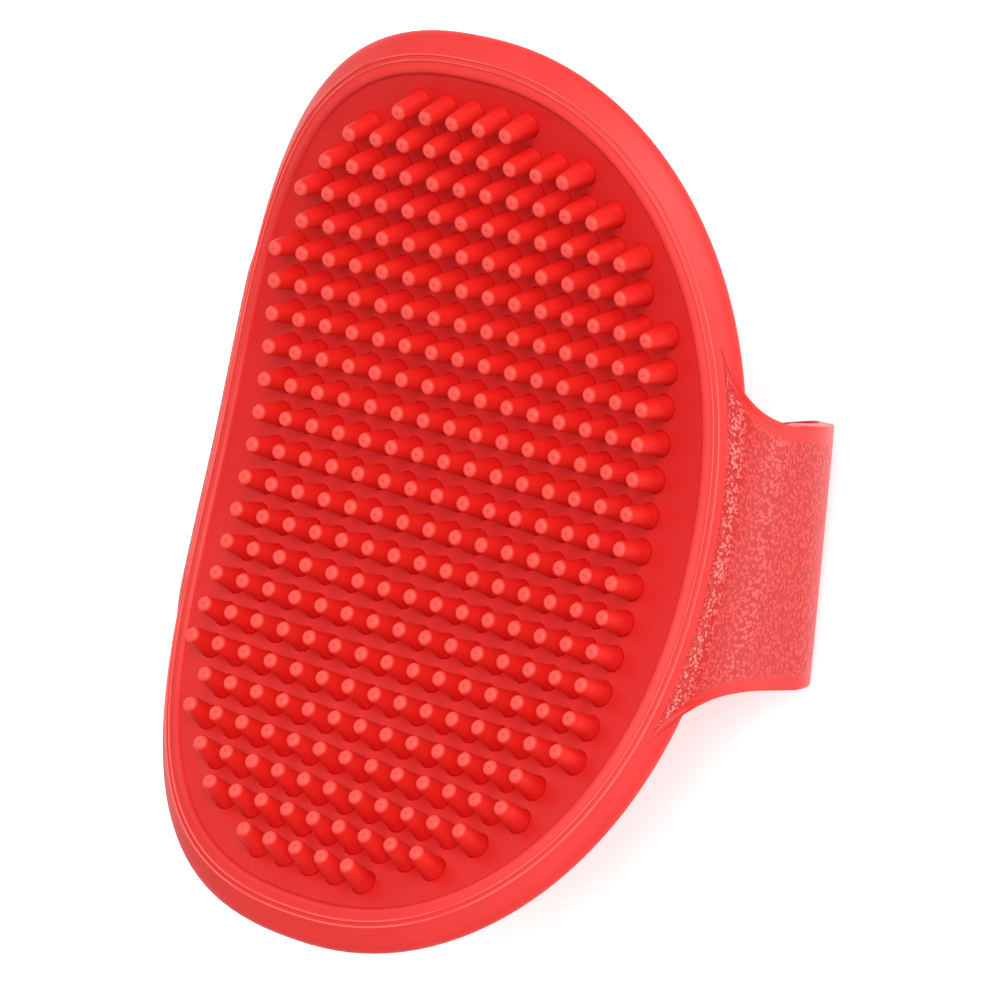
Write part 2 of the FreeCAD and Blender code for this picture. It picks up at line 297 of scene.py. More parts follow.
# ---------------------------------------------------------------- finishes
@dataclass(frozen=True)
class MouldedRubber:
    """Satin rubber straight from a polished mould."""

    name: str
    colour: Colour = (0.66, 0.030, 0.026)
    shade: Colour = (0.58, 0.020, 0.018)
    roughness: float = 0.42
    gloss: float = 0.4
    cloud_per_metre: float = 70.0
    cloud_share: float = 0.5
    roughness_spread: float = 0.12
    grit_per_metre: float = 2600.0
    grit_height: float = 0.012 * MM

    def base(self) -> tuple[ShaderTree, Signal, Signal]:
        """Start the finish with its clouded colour and roughness.

        Returns:
            The tree, its coordinates and its clouded colour.
        """
        tree = ShaderTree(self.name)
        where = tree.place()
        cloud = tree.noise(where, self.cloud_per_metre, 3.0)
        colour = tree.mix(cloud.ramp(0.3, 0.7) * self.cloud_share, self.colour, self.shade)
        lowest = self.roughness - self.roughness_spread / 2
        tree.set(roughness=cloud * self.roughness_spread + lowest, specular_ior_level=self.gloss)
        return tree, where, colour

    def gritty(self, tree: ShaderTree, where: Signal, colour: Signal) -> Material:
        """Give the finish its colour and the fine grit of the mould.

        Args:
            tree: the tree.
            where: its coordinates.
            colour: the colour.

        Returns:
            The finished material.
        """
        tree.set(base_color=colour)
        tree.bump(tree.noise(where, self.grit_per_metre), self.grit_height)
        return tree.material

    def build(self) -> Material:
        """Make the material.

        Returns:
            The finished material.
        """
        return self.gritty(*self.base())


@dataclass(frozen=True)
class FloorRubber(MouldedRubber):
    """Floor rubber: deeper red, a painted shade for the floor that lies low between the nubs."""

    # painted shade: the floor's reds are deeper than the rim's, for the shade between the nubs
    colour: Colour = (0.56, 0.013, 0.012)
    shade: Colour = (0.50, 0.009, 0.008)
    gloss: float = 0.25


@dataclass(frozen=True)
class RimRubber(MouldedRubber):
    """Rim rubber: a painted highlight, paler in patches, along the crests of its two thin ridges."""

    # colour of the painted highlight on the ridge crests
    crest: Colour = (0.86, 0.15, 0.13)
    crest_share: float = 0.8
    roughness: float = 0.5
    gloss: float = 0.3

    def build(self) -> Material:
        """Make the material.

        Returns:
            The finished material.
        """
        tree, where, colour = self.base()
        # painted highlight along the ridge crests, broken into patches by noise
        highlight_patches = tree.noise(where, self.cloud_per_metre).ramp(0.2, 0.6)
        crest_highlight = tree.attribute("crest").ramp(0.4, 1.0) * highlight_patches
        return self.gritty(tree, where, tree.mix(crest_highlight * self.crest_share, colour, self.crest))


@dataclass(frozen=True)
class NubRubber(MouldedRubber):
    """Nub rubber: deep red, with painted shade towards the foot, a painted highlight at the flat of the tip,
    and painted shade in the tip's dimple.
    """

    colour: Colour = (0.62, 0.009, 0.007)
    shade: Colour = (0.56, 0.006, 0.005)
    body: Colour = (0.70, 0.016, 0.011)
    # colour of the painted highlight at the flat of the tip
    tip: Colour = (0.84, 0.076, 0.060)
    # colour of the painted shade in the tip's dimple
    dimple_shade: Colour = (0.62, 0.03, 0.024)
    gloss: float = 0.2

    def build(self) -> Material:
        """Make the material.

        Returns:
            The finished material.
        """
        tree, where, colour = self.base()
        reach = tree.attribute("reach")
        # painted shade: deeper red towards the foot, lighter up the body
        colour = tree.mix(reach.ramp(0.15, 0.85), colour, self.body)
        # painted highlight: paler at the flat of the tip
        colour = tree.mix(reach.ramp(0.88, 0.985), colour, self.tip)
        # painted shade in the tip's dimple
        colour = tree.mix(tree.attribute("dimple").ramp(0.2, 0.9), colour, self.dimple_shade)
        return self.gritty(tree, where, colour)


@dataclass(frozen=True)
class Band:
    """A band across the strap where a highlight is painted on the grain, by its distances from the rim."""

    start: float
    full: float
    fade: float
    end: float
    strength: float

    def share(self, down: Signal) -> Signal:
        """How much of the gleam a place has.

        Args:
            down: distance from the rim.

        Returns:
            A signal from 0 to the band's strength.
        """
        rising = down.ramp(self.start, self.full)
        return rising * (1.0 - down.ramp(self.fade, self.end)) * self.strength


@dataclass(frozen=True)
class GrainedRubber(MouldedRubber):
    """Rubber with a pebbled leather grain that stops short of the strap's edges, with painted shade in the
    grain's hollows, painted highlights on its tops and bands of painted highlight across it.
    """

    colour: Colour = (0.62, 0.018, 0.014)
    shade: Colour = (0.56, 0.014, 0.011)
    # colour of the painted shade in the grain's hollows
    crease: Colour = (0.46, 0.010, 0.009)
    # colour of the painted highlights on the grain's tops
    crown: Colour = (0.78, 0.062, 0.052)
    roughness: float = 0.38
    gloss: float = 0.3
    # colour of the painted highlight bands
    gleam: Colour = (0.90, 0.26, 0.23)
    crease_share: float = 0.8
    crown_share: float = 0.7
    gleam_share: float = 0.7
    pebbles_per_metre: float = 1900.0
    warps_per_pebble: float = 0.6
    specks_per_pebble: float = 2.6
    grain_height: float = 0.24 * MM
    border: float = 1.7 * MM
    edge_line: float = 0.55 * MM
    shoulder_band: Band = Band(0.4 * MM, 1.6 * MM, 2.2 * MM, 4.5 * MM, 1.0)
    leg_band: Band = Band(7.0 * MM, 9.5 * MM, 9.5 * MM, 12.5 * MM, 0.25)

    def build(self) -> Material:
        """Make the material.

        Returns:
            The finished material.
        """
        tree, _, colour = self.base()
        flat = tree.pattern("flat_pattern")
        warp = tree.noise(flat, self.pebbles_per_metre * self.warps_per_pebble)
        pebble = 1.0 - tree.cells(flat, self.pebbles_per_metre).ramp(0.1, 0.7)
        speck = tree.noise(flat, self.pebbles_per_metre * self.specks_per_pebble)
        from_edge = tree.attribute("from_edge")
        inside = from_edge.ramp(self.border, self.border * 1.5)
        bead = 1.0 - from_edge.ramp(self.edge_line, self.edge_line * 2)
        grain = (pebble * 0.6 + warp * 0.6 + speck * 0.2) * inside
        worm = (pebble * 0.6 + warp).ramp(0.55, 0.95)
        down = tree.attribute("from_rim")
        gleaming = self.shoulder_band.share(down) + self.leg_band.share(down)
        # painted shade: darker in the grain's hollows
        colour = tree.mix((1.0 - worm) * inside * self.crease_share, colour, self.crease)
        # painted highlight: paler on the grain's tops
        colour = tree.mix(worm * inside * self.crown_share, colour, self.crown)
        # painted highlight: bands across the strap where the grain gleams
        colour = tree.mix(worm * inside * gleaming * self.gleam_share, colour, self.gleam)
        tree.set(base_color=colour)
        tree.bump(grain + bead * 0.4, self.grain_height)
        return tree.material


@dataclass(frozen=True)
class Paper:
    """Matt pale backdrop paper that glows a little, a painted light that washes out the shadows cast on it.
    """

    name: str
    colour: Colour = (0.93, 0.93, 0.93)
    darkest: float = 0.985
    glow: float = 0.55

    def build(self) -> Material:
        """Make the material.

        Returns:
            The finished material.
        """
        tree = ShaderTree(self.name)
        tone = tree.noise(tree.place(), 3.0)
        darker = tuple(channel * self.darkest for channel in self.colour)
        tree.set(base_color=tree.mix(tone, self.colour, darker), roughness=0.9)
        # painted light: the paper glows to wash out the shadows on it
        tree.set(emission_color=(1.0, 1.0, 1.0, 1.0), emission_strength=self.glow)
        return tree.material


# ---------------------------------------------------------------- mesh helpers
def ring(bm: BMesh, segments: int) -> list[BMVert]:
    """Add one flat circle of radius 1.

    Args:
        bm: the mesh.
        segments: how many vertices it has.

    Returns:
        Its vertices in order.
    """
    made = bmesh.ops.create_circle(bm, segments=segments, radius=1.0, cap_ends=False)
    return made["verts"]


def ring_edges(verts: Iterable[BMVert]) -> list[BMEdge]:
    """The edges that join vertices of one ring.

    Args:
        verts: the ring's vertices.

    Returns:
        Its edges.
    """
    members = set(verts)
    found = {edge for vert in members for edge in vert.link_edges}
    return [edge for edge in found if set(edge.verts) <= members]


def skin(bm: BMesh, rings: list[list[Vector]]) -> tuple[list[BMVert], list[BMVert]]:
    """Stretch a band of faces over a row of rings, by extruding from each ring to the next.

    Args:
        bm: the mesh.
        rings: where each ring's vertices go, with the same number in every ring.

    Returns:
        The vertices of the first ring and of the last one.
    """
    first = ring(bm, len(rings[0]))
    for vert, place in zip(first, rings[0]):
        vert.co = place
    last = first
    for places in rings[1:]:
        made = bmesh.ops.extrude_edge_only(bm, edges=ring_edges(last))
        fresh = {item for item in made["geom"] if isinstance(item, BMVert)}
        last = [
            next(link.other_vert(vert) for link in vert.link_edges if link.other_vert(vert) in fresh)
            for vert in last
        ]
        for vert, place in zip(last, places):
            vert.co = place
    return first, last


def paint(obj: Object, name: str, values: list[float]) -> None:
    """Store one number per vertex as an attribute.

    Args:
        obj: the piece.
        name: the attribute's name.
        values: a number for each vertex.
    """
    attribute = obj.data.attributes.new(name, "FLOAT", "POINT")
    attribute.data.foreach_set("value", values)


def smooth(share: float) -> float:
    """Ease from 0 to 1 with level ends."""
    held = min(1.0, max(0.0, share))
    return held * held * (3 - 2 * held)


def sharpen(bm: BMesh, degrees: float) -> None:
    """Shade smooth, with a hard edge wherever faces meet at more than an angle.

    Args:
        bm: the mesh.
        degrees: the angle.
    """
    limit = math.radians(degrees)
    for face in bm.faces:
        face.smooth = True
    for edge in bm.edges:
        edge.smooth = len(edge.link_faces) != 2 or edge.calc_face_angle(0.0) < limit


def lathe(profile: Iterable[tuple[float, float]], segments: int) -> BMesh:
    """Spin a profile round the Z axis and close its open end.

    Args:
        profile: pairs of radius and height in millimetres, from the open end to the pole.
        segments: how many steps a full turn takes.

    Returns:
        The closed shape as a mesh of its own.
    """
    bm = bmesh.new()
    line = [bm.verts.new((radius * MM, 0, height * MM)) for radius, height in profile]
    edges = [bm.edges.new(pair) for pair in zip(line, line[1:])]
    bmesh.ops.spin(
        bm,
        geom=line + edges,
        axis=(0, 0, 1),
        cent=(0, 0, 0),
        angle=2 * math.pi,
        steps=segments,
        use_merge=True,
    )
    bmesh.ops.remove_doubles(bm, verts=bm.verts, dist=TOUCHING)
    bmesh.ops.holes_fill(bm, edges=bm.edges, sides=0)
    bmesh.ops.recalc_face_normals(bm, faces=bm.faces)
    return bm


def repeat(shape: BMesh, places: Iterable[Vector]) -> BMesh:
    """Copy a shape to several places.

    Args:
        shape: the shape, which is freed.
        places: where its origin goes.

    Returns:
        All the copies in one mesh.
    """
    copied = bpy.data.meshes.new("copied_shape")
    shape.to_mesh(copied)
    shape.free()
    bm = bmesh.new()
    for place in places:
        before = len(bm.verts)
        bm.from_mesh(copied)
        bm.verts.ensure_lookup_table()
        bmesh.ops.translate(bm, verts=bm.verts[before:], vec=place)
    bpy.data.meshes.remove(copied)
    return bm


def new_piece(bm: BMesh, name: str, finish: Material) -> Object:
    """Turn a mesh into a piece at the origin.

    Args:
        bm: the mesh, which is freed.
        name: the piece's name.
        finish: its material.

    Returns:
        The piece.
    """
    mesh = bpy.data.meshes.new(name)
    bm.to_mesh(mesh)
    bm.free()
    mesh.materials.append(finish)
    piece = bpy.data.objects.new(name, mesh)
    bpy.context.scene.collection.objects.link(piece)
    LOG.info("%s: %d faces", name, len(mesh.polygons))
    return piece


# ---------------------------------------------------------------- the bent pad
@dataclass(frozen=True)
class PadForm:
    """The oval outline, and the bend that a flat pattern takes."""

    half_width: float
    floor_height: float
    bend_radius: float = 108.0 * MM
    bow_radius: float = 450.0 * MM
    half_length: float = 64.7 * MM
    power: float = 2.35

    def outline(self, turn: float, inset: float) -> Vector:
        """A point of the flat outline.

        Args:
            turn: polar angle.
            inset: how far inside the outer edge.

        Returns:
            The flat point.
        """
        across = abs(math.cos(turn)) / self.half_width
        along = abs(math.sin(turn)) / self.half_length
        reach = (across**self.power + along**self.power) ** (-1 / self.power)
        slope_x = (reach * across) ** (self.power - 1) / self.half_width
        slope_y = (reach * along) ** (self.power - 1) / self.half_length
        normal = Vector(
            (math.copysign(slope_x, math.cos(turn)), math.copysign(slope_y, math.sin(turn)), 0)
        )
        point = Vector((reach * math.cos(turn), reach * math.sin(turn), 0))
        return point - normal.normalized() * inset

    def edge_at(self, along: float) -> float:
        """Half the pad's width at a distance along it.

        Args:
            along: flat distance from the middle.

        Returns:
            The distance from the centre line to the outer edge.
        """
        share = 1 - abs(along / self.half_length) ** self.power
        return self.half_width * share ** (1 / self.power)

    def bend(self, flat: Vector) -> Vector:
        """Where a point of the flat pattern goes.

        Args:
            flat: X and Y on the flat pad, and Z above its floor.

        Returns:
            The place on the bent pad.
        """
        radius = self.bend_radius - flat.x**2 / (2 * self.bow_radius) - flat.z
        turn = flat.y / self.bend_radius
        middle = self.floor_height + self.bend_radius
        return Vector((flat.x, radius * math.sin(turn), middle - radius * math.cos(turn)))

    def bend_mesh(self, bm: BMesh) -> None:
        """Bend every vertex of a mesh that was modelled flat."""
        for vert in bm.verts:
            vert.co = self.bend(vert.co)


@dataclass
class Pad:
    """The pad sheet and the rim round it.

    The gutter's and the rim's sections are in millimetres: pairs of inset and height above the
    floor. The gutter's insets count from the floor's edge, which is tucked under the rim's step.
    """

    form: PadForm
    floor_finish: Material
    rim_finish: Material
    segments: int = 180
    floor_inset: float = 4.75 * MM
    gutter_width: float = 0.85 * MM
    gutter: tuple[tuple[float, float], ...] = ((0.0, 0.05), (0.25, -0.06), (0.5, -0.04))
    sheet: float = 2.0 * MM
    floor_rings: int = 16
    floor_crease: float = 40.0
    rim_crease: float = 55.0
    crest_heights: tuple[float, ...] = (-0.09, -0.08, -0.43)
    rim_section: tuple[tuple[float, float], ...] = (
        (4.95, -1.9),
        (4.95, 0.0),
        (4.8, 0.16),
        (4.6, 0.34),
        (4.35, 0.43),
        (4.05, 0.36),
        (3.6, 0.06),
        (3.32, -0.14),
        (3.14, -0.2),
        (3.0, -0.09),
        (2.86, -0.08),
        (2.72, -0.26),
        (2.56, -0.52),
        (2.42, -0.56),
        (2.28, -0.43),
        (2.14, -0.43),
        (2.0, -0.62),
        (1.5, -1.2),
        (1.0, -1.75),
        (0.5, -2.35),
        (0.16, -2.9),
        (0.0, -3.4),
        (0.12, -3.85),
        (0.5, -4.2),
        (1.1, -4.3),
        (1.9, -4.12),
        (2.9, -3.4),
        (3.8, -2.7),
        (4.4, -2.3),
    )

    def _outline_ring(self, inset: float, height: float, share: float = 1.0) -> list[Vector]:
        """Places for a ring that follows the outline.

        Args:
            inset: how far inside the outer edge.
            height: above the floor.
            share: how much the ring is drawn in towards the centre.

        Returns:
            The places in order.
        """
        turns = (2 * math.pi * index / self.segments for index in range(self.segments))
        flat = (self.form.outline(turn, inset) * share for turn in turns)
        return [Vector((place.x, place.y, height)) for place in flat]

    def floor(self) -> Object:
        """Build the pad sheet: a floor with a shallow gutter along the rim, and a plain back.

        Returns:
            The piece.
        """
        bm = bmesh.new()
        level = self.floor_inset + self.gutter_width
        shares = [1.0 - step / self.floor_rings for step in range(self.floor_rings)]
        edge = [
            self._outline_ring(self.floor_inset + inset * MM, height * MM)
            for inset, height in self.gutter
        ]
        top = [self._outline_ring(level, 0.0, share) for share in shares]
        back = [self._outline_ring(level, -self.sheet, share) for share in reversed(shares)]
        back.append(self._outline_ring(self.floor_inset, -self.sheet))
        for end in skin(bm, back + edge + top):
            bmesh.ops.contextual_create(bm, geom=ring_edges(end))
        bmesh.ops.recalc_face_normals(bm, faces=bm.faces)
        self.form.bend_mesh(bm)
        sharpen(bm, self.floor_crease)
        piece = new_piece(bm, "pad_floor", self.floor_finish)
        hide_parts("pad_sheet")
        return piece

    def rim(self) -> Object:
        """Build the rim.

        Returns:
            The piece.
        """
        bm = bmesh.new()
        rings = [self._outline_ring(inset * MM, height * MM) for inset, height in self.rim_section]
        skin(bm, rings + rings[:1])
        bmesh.ops.remove_doubles(bm, verts=bm.verts, dist=TOUCHING)
        bmesh.ops.recalc_face_normals(bm, faces=bm.faces)
        crests = [
            float(any(abs(vert.co.z - height * MM) < TOUCHING for height in self.crest_heights))
            for vert in bm.verts
        ]
        self.form.bend_mesh(bm)
        sharpen(bm, self.rim_crease)
        piece = new_piece(bm, "rim_bead", self.rim_finish)
        paint(piece, "crest", crests)
        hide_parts("rim")
        return piece

    def build(self) -> None:
        """Build the pad sheet and the rim, and let them ride on the pad."""
        for piece in (self.floor(), self.rim()):
            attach(piece, Body.PAD.value)


@dataclass
class NubField:
    """The lattice of tapered nubs, in columns along the comb.

    Reaches are the nubs on each side of the middle one, from the centre column outwards, and the
    profile is pairs of radius and height in millimetres.
    """

    form: PadForm
    finish: Material
    pitch: float = 5.0 * MM
    segments: int = 12
    crease: float = 180.0
    reaches: tuple[int, ...] = (11, 11, 11, 10, 10, 9, 8, 6)
    profile: tuple[tuple[float, float], ...] = (
        (2.0, -0.08),
        (1.76, 0.25),
        (1.27, 4.5),
        (0.95, 5.0),
        (0.38, 5.1),
        (0.0, 4.97),
    )

    def column(self, column: int) -> Object:
        """Build one column of nubs.

        Args:
            column: its place across the comb.

        Returns:
            The piece.
        """
        reach = self.reaches[abs(column)]
        rows = range(-reach, reach + 1)
        places = [Vector((column * self.pitch, row * self.pitch, 0)) for row in rows]
        bm = repeat(lathe(self.profile, self.segments), places)
        tip = self.profile[-2][1] * MM
        pole = self.profile[-1][1] * MM
        heights = [max(0.0, vert.co.z) / tip for vert in bm.verts]
        dimples = [float(abs(vert.co.z - pole) < TOUCHING) for vert in bm.verts]
        self.form.bend_mesh(bm)
        sharpen(bm, self.crease)
        side = "left" if column < 0 else "right"
        node = "nubs_centre" if column == 0 else f"nubs_{side}_{abs(column)}"
        piece = new_piece(bm, f"nub_column_{column + len(self.reaches):02d}", self.finish)
        paint(piece, "reach", heights)
        paint(piece, "dimple", dimples)
        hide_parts(node)
        return piece

    def build(self) -> None:
        """Build every column and let it ride on the pad."""
        last = len(self.reaches) - 1
        for column in range(-last, last + 1):
            piece = self.column(column)
            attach(piece, Body.PAD.value)


# ---------------------------------------------------------------- the strap
@dataclass(frozen=True)
class StrapPath:
    """The line that the strap's outer face follows in one upright section of the comb.

    It leaves the rim's slope, turns down into the leg, goes round the fold and runs along the band.
    Distances across the comb are counted outwards, as on the right. The knee is the height where
    the shoulder's curve ends, which the slope and pull steer at the rim and the rise at the leg.
    """

    start: tuple[float, float]
    outside: float
    radius: float
    low: float
    reach: float
    knee: float = 21.0 * MM
    join: float = 25.0 * MM
    slope: float = math.radians(-22)
    pull: float = 3.0 * MM
    rise: float = 6.8 * MM

    def stretches(self) -> tuple[float, ...]:
        """Measure the line.

        Returns:
            Lengths of the shoulder, the leg, the fold, and the band's two stretches.
        """
        points = [self._shoulder(step / SHOULDER_STEPS) for step in range(SHOULDER_STEPS + 1)]
        shoulder = sum(math.dist(before, after) for before, after in zip(points, points[1:]))
        leg = max(0.0, self.knee - self.low - self.radius)
        fold = self.radius * math.pi / 2
        return shoulder, leg, fold, self.outside - self.radius - self.join, self.join + self.reach

    def _shoulder(self, share: float) -> tuple[float, float]:
        """A point of the shoulder, which is one smooth curve.

        Args:
            share: from 0 at the rim to 1 at the top of the leg.

        Returns:
            Its distance out and its height.
        """
        controls = (
            self.start,
            (
                self.start[0] + self.pull * math.cos(self.slope),
                self.start[1] + self.pull * math.sin(self.slope),
            ),
            (self.outside, self.knee + self.rise),
            (self.outside, self.knee),
        )
        rest = 1 - share
        weights = (rest**3, 3 * rest**2 * share, 3 * rest * share**2, share**3)
        out = sum(weight * control[0] for weight, control in zip(weights, controls))
        up = sum(weight * control[1] for weight, control in zip(weights, controls))
        return out, up

    def at(self, stretch: int, share: float) -> tuple[float, float]:
        """A point of the line.

        Args:
            stretch: which of the stretches.
            share: how far along it, from 0 to 1.

        Returns:
            Its distance out and its height.
        """
        fold_out = self.outside - self.radius
        if stretch == 0:
            return self._shoulder(share)
        if stretch == 1:
            return self.outside, self.knee + (self.low + self.radius - self.knee) * share
        if stretch == 2:
            turn = share * math.pi / 2
            return (
                fold_out + self.radius * math.cos(turn),
                self.low + self.radius * (1 - math.sin(turn)),
            )
        if stretch == 3:
            return fold_out + (self.join - fold_out) * share, self.low
        return self.join - (self.join + self.reach) * share, self.low


@dataclass(frozen=True)
class Lean:
    """How a strap half hangs a little askew, as soft rubber does."""

    at_rim: float = 0.0
    at_fold: float = 0.0
    radius_per_width: float = 0.0
    outside_per_width: float = 0.0


@dataclass
class StrapHalf:
    """One half of the hand strap, modelled flat and then folded.

    The flat pattern runs along X from the rim, with Y across the strap and its outer face at Z 0.
    The flare is the hollow widening at the rim, and the neck is the slight taper below it.
    """

    form: PadForm
    finish: Material
    side: Side
    outside: float
    band_height: float
    band_reach: float
    fold_centre: float = 13.5 * MM
    lean: Lean = Lean()
    thickness: float = 2.1 * MM
    half_width: float = 17.65 * MM
    neck_half_width: float = 18.2 * MM
    root_half_width: float = 29.5 * MM
    flare_length: float = 12.5 * MM
    neck_length: float = 24.0 * MM
    end_round: float = 8.0 * MM
    hinge_height: float = 24.0 * MM
    bend_above: float = 3.0 * MM
    bend_below: float = 5.0 * MM
    root_inset: float = 1.75 * MM
    root_drop: float = 1.1 * MM
    round_over: float = 0.45 * MM
    round_steps: int = 3
    crease: float = 38.0
    steps_along: int = 150
    steps_across: int = 44
    holes: tuple[float, ...] = ()
    hole_segments: int = 40
    hole_radius: float = 1.7 * MM
    recess_radius: float = 3.1 * MM
    recess_depth: float = 1.2 * MM

    def path(self, across: float) -> StrapPath:
        """The strap's line in the section at a distance from its middle.

        Args:
            across: the distance along the comb's length.

        Returns:
            The line.
        """
        beside = across + self.lean.at_rim
        edge = self.form.edge_at(beside) - self.root_inset
        start = self.form.bend(Vector((edge, beside, -self.root_drop)))
        return StrapPath(
            start=(start.x, start.z),
            outside=self.outside + self.lean.outside_per_width * across,
            radius=self.fold_centre - self.band_height + self.lean.radius_per_width * across,
            low=self.band_height,
            reach=self.band_reach,
        )

    def half_width_at(self, along: float) -> float:
        """Half the strap's width at a distance down the pattern.

        Args:
            along: distance from the rim end.

        Returns:
            Half the width there.
        """
        length = sum(self.path(0.0).stretches())
        taper = min(1.0, along / self.neck_length)
        width = self.neck_half_width + (self.half_width - self.neck_half_width) * taper
        if along < self.flare_length:
            share = 1 - along / self.flare_length
            hollow = 1 - math.sqrt(max(0.0, 1 - share**2))
            return width + (self.root_half_width - width) * hollow
        over = along - (length - self.end_round)
        if over > 0:
            straight = self.half_width - self.end_round
            return straight + math.sqrt(max(0.0, self.end_round**2 - over**2))
        return width

    def fold(self, flat: Vector) -> tuple[Vector, float]:
        """Where a point of the flat pattern goes.

        Args:
            flat: X down the pattern, Y across it and Z above its outer face.

        Returns:
            The place on the folded strap, and the real distance down the strap to it.
        """
        usual = self.path(0.0).stretches()
        line = self.path(flat.y)
        actual = line.stretches()
        left = flat.x
        stretch = 0
        while stretch < len(usual) - 1 and left > usual[stretch]:
            left -= usual[stretch]
            stretch += 1
        share = left / usual[stretch]
        nudge = 0.001
        out, up = line.at(stretch, share)
        ahead = line.at(stretch, share + nudge)
        behind = line.at(stretch, share - nudge)
        run = Vector((ahead[0] - behind[0], ahead[1] - behind[1])).normalized()
        out -= run.y * flat.z
        up += run.x * flat.z
        fold_middle = usual[0] + usual[1] + usual[2] / 2
        if flat.x < fold_middle:
            ease = smooth(flat.x / fold_middle)
            shift = self.lean.at_rim + (self.lean.at_fold - self.lean.at_rim) * ease
        else:
            rest = usual[2] / 2 + usual[3]
            shift = self.lean.at_fold * (1 - smooth((flat.x - fold_middle) / rest))
        down = sum(actual[:stretch]) + actual[stretch] * share
        return Vector((self.side.value * out, flat.y + shift, up)), down

    def _cutters(self) -> Object:
        """Build the stepped punches that cut the holes out of the flat pattern.

        Returns:
            A helper object that isn't kept.
        """
        stretches = self.path(0.0).stretches()
        join = self.path(0.0).join
        bm = bmesh.new()
        for x in self.holes:
            for row in (HOLE_ROW, -HOLE_ROW):
                along = sum(stretches[:4]) + join - self.side.value * x
                for radius, low, high in (
                    (self.hole_radius, -self.thickness - MM, 0.0),
                    (self.recess_radius, -self.recess_depth, MM),
                ):
                    bmesh.ops.create_cone(
                        bm,
                        cap_ends=True,
                        segments=self.hole_segments,
                        radius1=radius,
                        radius2=radius,
                        depth=high - low,
                        matrix=Matrix.Translation((along, row, (low + high) / 2)),
                    )
        return new_piece(bm, "strap_punch", self.finish)

    def _flat(self) -> BMesh:
        """Model the flat pattern with rounded edges.

        Returns:
            The mesh.
        """
        bm = bmesh.new()
        bmesh.ops.create_grid(
            bm, x_segments=self.steps_along, y_segments=self.steps_across, size=1.0
        )
        length = sum(self.path(0.0).stretches())
        for vert in bm.verts:
            along = (vert.co.x + 1) / 2 * length
            vert.co = Vector((along, vert.co.y * self.half_width_at(along), 0))
        made = bmesh.ops.extrude_face_region(bm, geom=list(bm.faces))
        lowered = [item for item in made["geom"] if isinstance(item, BMVert)]
        bmesh.ops.translate(bm, verts=lowered, vec=(0, 0, -self.thickness))
        bmesh.ops.recalc_face_normals(bm, faces=bm.faces)
        outer = [
            edge
            for edge in bm.edges
            if edge.calc_face_angle(0.0) > SQUARE_CORNER
            and abs(edge.verts[0].co.z - edge.verts[1].co.z) < TOUCHING
        ]
        bmesh.ops.bevel(
            bm,
            geom=outer,
            offset=self.round_over,
            segments=self.round_steps,
            profile=0.5,
            affect="EDGES",
            material=-1,
            clamp_overlap=True,
        )
        return bm

    def _punched(self, bm: BMesh) -> BMesh:
        """Cut the holes.

        Args:
            bm: the flat pattern, which is freed.

        Returns:
            The flat pattern with its holes.
        """
        blank = new_piece(bm, "strap_blank", self.finish)
        punch = self._cutters()
        cut = blank.modifiers.new("holes", "BOOLEAN")
        cut.operation = "DIFFERENCE"
        cut.solver = "EXACT"
        cut.use_self = True
        cut.object = punch
        graph = bpy.context.evaluated_depsgraph_get()
        result = bmesh.new()
        result.from_object(blank, graph)
        bpy.data.objects.remove(blank)
        bpy.data.objects.remove(punch)
        return result

    def build(self, name: str, body: Body, *nodes: str) -> Object:
        """Build the strap half.

        Args:
            name: the piece's name.
            body: the body that its band rides on; not used.
            nodes: the frame's nodes that it stands for.

        Returns:
            The piece.
        """
        bm = self._flat()
        if self.holes:
            bm = self._punched(bm)
        sharpen(bm, self.crease)
        bm.verts.index_update()
        from_edge = [self.half_width_at(vert.co.x) - abs(vert.co.y) for vert in bm.verts]
        folded = [self.fold(vert.co) for vert in bm.verts]
        layer = bm.loops.layers.uv.new("flat_pattern")
        for face in bm.faces:
            for loop in face.loops:
                loop[layer].uv = (folded[loop.vert.index][1], loop.vert.co.y)
        for vert, (place, _) in zip(bm.verts, folded):
            vert.co = place
        if self.side is Side.LEFT:
            bmesh.ops.reverse_faces(bm, faces=bm.faces)
        piece = new_piece(bm, name, self.finish)
        paint(piece, "from_edge", from_edge)
        paint(piece, "from_rim", [down for _, down in folded])
        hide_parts(*nodes)
        x = self.side.value * (self.outside - self.thickness / 2)
        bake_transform(piece)
        return piece


@dataclass
class Studs:
    """The mushroom studs of the inner strap half, whose profile is in millimetres."""

    finish: Material
    places: tuple[tuple[float, float], ...]
    shoulder: float
    segments: int = 32
    crease: float = 50.0
    profile: tuple[tuple[float, float], ...] = (
        (1.8, 0.0),
        (1.5, -0.2),
        (1.4, -0.5),
        (1.4, -1.25),
        (1.5, -1.38),
        (2.3, -1.42),
        (2.46, -1.52),
        (2.5, -1.66),
        (2.42, -1.82),
        (2.1, -2.02),
        (1.5, -2.18),
        (0.8, -2.25),
        (0.0, -2.27),
    )

    def build(self) -> Object:
        """Build the studs and let them ride on the inner strap half.

        Returns:
            The piece.
        """
        places = [Vector((x, y, self.shoulder)) for x, y in self.places]
        bm = repeat(lathe(self.profile, self.segments), places)
        sharpen(bm, self.crease)
        piece = new_piece(bm, "mushroom_studs", self.finish)
        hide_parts("strap_studs")
        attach(piece, Body.INNER_STRAP.value)
        return piece


# ---------------------------------------------------------------- studio
@dataclass(frozen=True)
class Softbox:
    """One soft light."""

    name: str
    place: tuple[float, float, float]
    size: float
    watts: float

    def build(self, target: Vector) -> None:
        """Hang the light and aim it.

        Args:
            target: what it points at.
        """
        light = bpy.data.lights.new(self.name, "AREA")
        light.shape = "SQUARE"
        light.size = self.size
        light.energy = self.watts
        lamp = bpy.data.objects.new(self.name, light)
        lamp.location = self.place
        lamp.rotation_euler = (target - lamp.location).to_track_quat("-Z", "Y").to_euler()
        bpy.context.scene.collection.objects.link(lamp)


